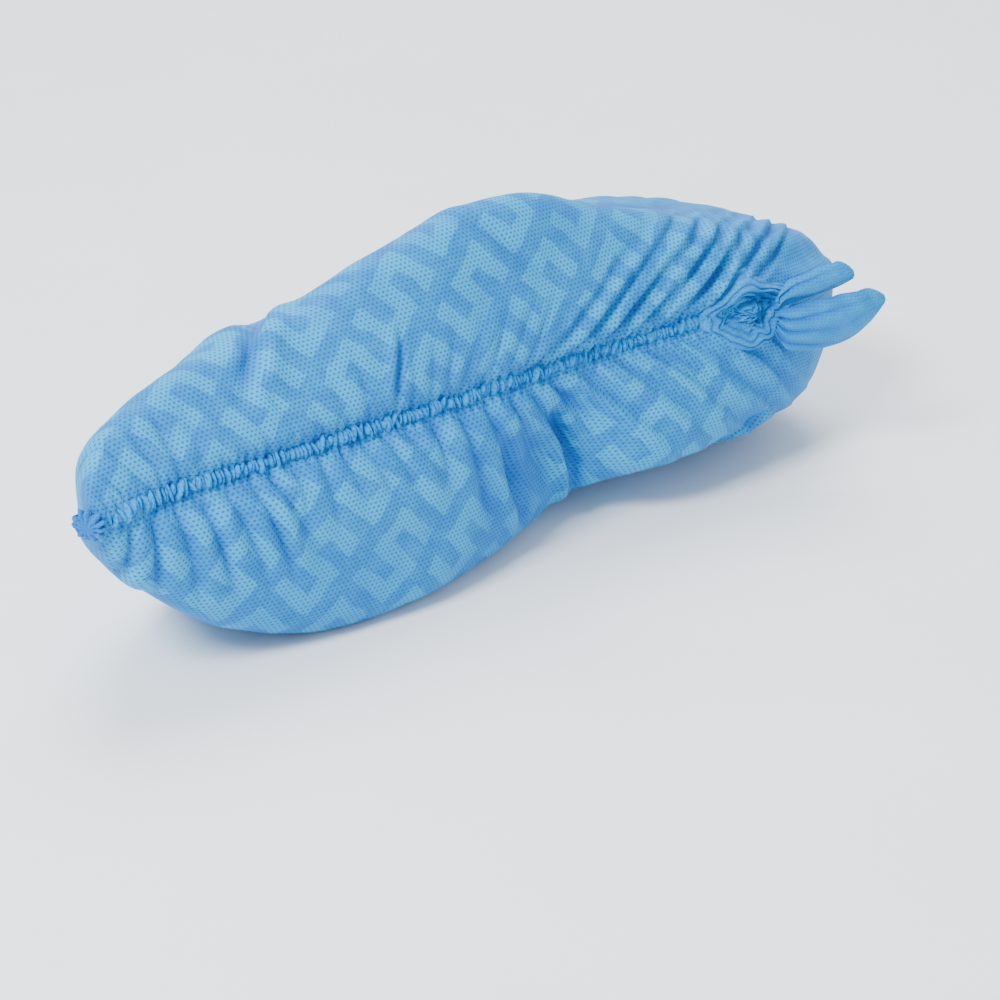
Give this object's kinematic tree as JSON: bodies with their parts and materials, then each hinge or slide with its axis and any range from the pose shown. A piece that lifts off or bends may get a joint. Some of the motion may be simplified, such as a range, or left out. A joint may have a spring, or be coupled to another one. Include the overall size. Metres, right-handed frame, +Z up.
{
  "type": "shoe cover",
  "caption": "Disposable nonwoven shoe cover lying on its side, hollow, with a gathered elastic seam along the sole, a tail of spare cloth at the heel and an elasticated foot opening",
  "frame": {"origin": "middle of the footprint, on the surface that the cover lies on", "axes": "+X from the toe to the heel, -Y the way the sole faces, +Y the way the foot opening faces, +Z up"},
  "size_m": [0.362, 0.1306, 0.1294],
  "materials": {
    "printed_nonwoven": "thin sky-blue spunbond nonwoven with small embossed dots and a pale anti-slip tread print",
    "gathered_nonwoven": "the same cloth gathered tightly on elastic, deeper blue in its folds",
    "plain_nonwoven": "the same cloth without the print, layered and slightly translucent at its edges"
  },
  "bodies": {
    "root": {"upper_panel": "printed_nonwoven", "lower_panel": "printed_nonwoven", "sole_elastic": "gathered_nonwoven", "mouth_elastic": "gathered_nonwoven", "tail_upper_flap": "plain_nonwoven", "tail_lower_flap": "plain_nonwoven", "toe_gather": "gathered_nonwoven"}
  },
  "joints": []
}
